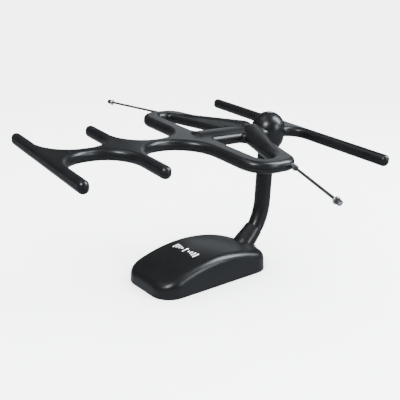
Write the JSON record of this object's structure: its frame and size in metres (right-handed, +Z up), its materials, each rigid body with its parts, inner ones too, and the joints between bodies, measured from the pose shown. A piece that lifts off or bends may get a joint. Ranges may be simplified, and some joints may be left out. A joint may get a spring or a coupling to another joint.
{
  "type": "indoor television antenna",
  "caption": "Indoor television antenna: a yagi-shaped head with telescopic rods on a ball joint, a folding arm and a weighted base.",
  "frame": {"origin": "centre of the base's underside, on the surface it stands on", "axes": "+Z up; +Y towards the rear, where the arm and the coaxial socket are; +X across, towards the near telescopic rod"},
  "size_m": [0.4075, 0.3325, 0.1903],
  "materials": {
    "black_shell": "satin black",
    "black_mould": "fine matt black",
    "pad_rubber": "matt",
    "steel_weight": "zinc plated",
    "screw_steel": "zinc plated",
    "black_steel": "black oxide",
    "rod_chrome": "dark chrome",
    "bright_chrome": "bright",
    "nickel_plate": "nickel",
    "aluminium_strip": "mill finish",
    "board_green": "solder resist",
    "part_dark": "moulded",
    "ferrite_grey": "sintered",
    "white_insulator": "moulded",
    "contact_brass": "bright",
    "lead_black": "satin",
    "brass_spacer": "turned",
    "acetal_ball": "natural",
    "acetal_liner": "waxy",
    "mark_ink": "printed"
  },
  "bodies": {
    "base": {"base_cover": "black_shell", "base_plate": "black_mould", "non_slip_pad": "pad_rubber", "ballast_weight": "steel_weight", "base_screws": "screw_steel", "ballast_screws": "screw_steel", "pedestal": "black_shell", "pedestal_screws": "screw_steel", "circuit_board": "board_green", "board_spacers": "brass_spacer", "board_screws": "screw_steel", "board_parts": "part_dark", "matching_transformer": "ferrite_grey", "coax_jack": "nickel_plate", "jack_nut": "nickel_plate", "jack_insulator": "white_insulator", "jack_contact": "contact_brass", "jack_lead": "lead_black", "printed_mark": "mark_ink"},
    "arm": {"arm_tube": "black_shell", "arm_lead": "lead_black", "pivot_pin": "black_steel", "pivot_nut": "black_steel", "swivel_washer": "screw_steel", "swivel_clip": "screw_steel"},
    "ball": {"ball_core": "acetal_ball"},
    "liner": {"ball_liner": "acetal_liner"},
    "head": {"head_upper_shell": "black_shell", "head_lower_shell": "black_shell", "head_screws": "screw_steel", "clamp_screw": "black_steel", "pressure_pad": "acetal_liner", "front_director": "aluminium_strip", "rear_director": "aluminium_strip", "reflector_strip": "aluminium_strip", "dipole_strip": "aluminium_strip", "balun_board": "board_green", "balun_core": "ferrite_grey", "near_outer_tube": "bright_chrome", "far_outer_tube": "bright_chrome"},
    "near_middle": {"near_middle_tube": "rod_chrome"},
    "near_tip": {"near_inner_rod": "rod_chrome", "near_tip_collar": "bright_chrome", "near_tip_knob": "black_mould"},
    "far_middle": {"far_middle_tube": "rod_chrome"},
    "far_tip": {"far_inner_rod": "rod_chrome", "far_tip_collar": "bright_chrome", "far_tip_knob": "black_mould"}
  },
  "joints": [
    {"name": "arm_fold", "type": "hinge", "parent": "base", "child": "arm", "pos_m": [0, 0.09024, 0.04134], "axis": [1, 0, 0], "range_deg": [-15, 15]},
    {"name": "head_swivel", "type": "hinge", "parent": "arm", "child": "ball", "pos_m": [0, 0.106, 0.156], "axis": [0, 0.0593, 0.9982], "range_deg": [-170, 170]},
    {"name": "head_tilt", "type": "hinge", "parent": "ball", "child": "liner", "pos_m": [0, 0.106, 0.156], "axis": [1, 0, 0], "range_deg": [-18, 15]},
    {"name": "head_roll", "type": "hinge", "parent": "liner", "child": "head", "pos_m": [0, 0.106, 0.156], "axis": [0, 1, 0], "range_deg": [-25, 11]},
    {"name": "near_middle_slide", "type": "slide", "parent": "head", "child": "near_middle", "axis": [0.9219, -0.3706, -0.1132], "range_m": [0, 0.07]},
    {"name": "near_tip_slide", "type": "slide", "parent": "near_middle", "child": "near_tip", "axis": [0.9219, -0.3706, -0.1132], "range_m": [-0.072, 0]},
    {"name": "far_middle_slide", "type": "slide", "parent": "head", "child": "far_middle", "axis": [-0.9219, -0.3706, 0.1132], "range_m": [0, 0.07]},
    {"name": "far_tip_slide", "type": "slide", "parent": "far_middle", "child": "far_tip", "axis": [-0.9219, -0.3706, 0.1132], "range_m": [-0.072, 0]}
  ]
}
